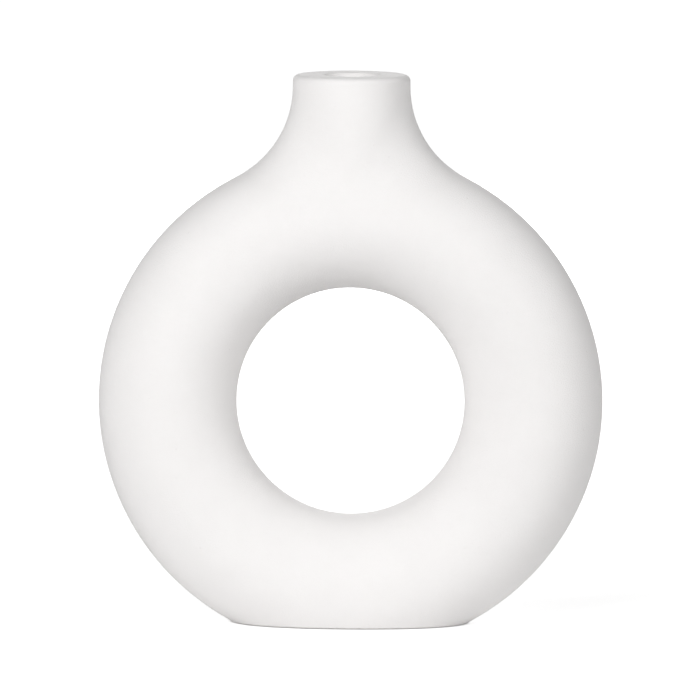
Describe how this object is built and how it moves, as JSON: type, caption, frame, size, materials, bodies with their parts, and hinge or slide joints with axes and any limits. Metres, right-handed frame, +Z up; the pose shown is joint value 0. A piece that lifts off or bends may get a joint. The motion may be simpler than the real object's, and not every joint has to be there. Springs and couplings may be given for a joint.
{
  "type": "donut vase",
  "caption": "Ring-shaped ceramic vase with a short flared neck, hollow all round to hold water and stems, standing on a flat oval foot with soft pads.",
  "frame": {"origin": "on the standing surface, under the middle of the oval foot", "axes": "+X across the ring to the viewer's right, +Y through the hole away from the viewer, +Z up"},
  "size_m": [0.1826, 0.05, 0.1993],
  "materials": {
    "matt_clay": "matt white fired clay, fine even grain",
    "slip": "matt white fired slip, sponged flush",
    "clear_glaze": "glossy white liner glaze",
    "pad": "soft translucent grey, satin"
  },
  "bodies": {
    "root": {"front_shell": "matt_clay", "back_shell": "matt_clay", "seam_slip": "slip", "glaze_lining": "clear_glaze", "foot_pad_front_left": "pad", "foot_pad_front_right": "pad", "foot_pad_back_left": "pad", "foot_pad_back_right": "pad"}
  },
  "joints": []
}
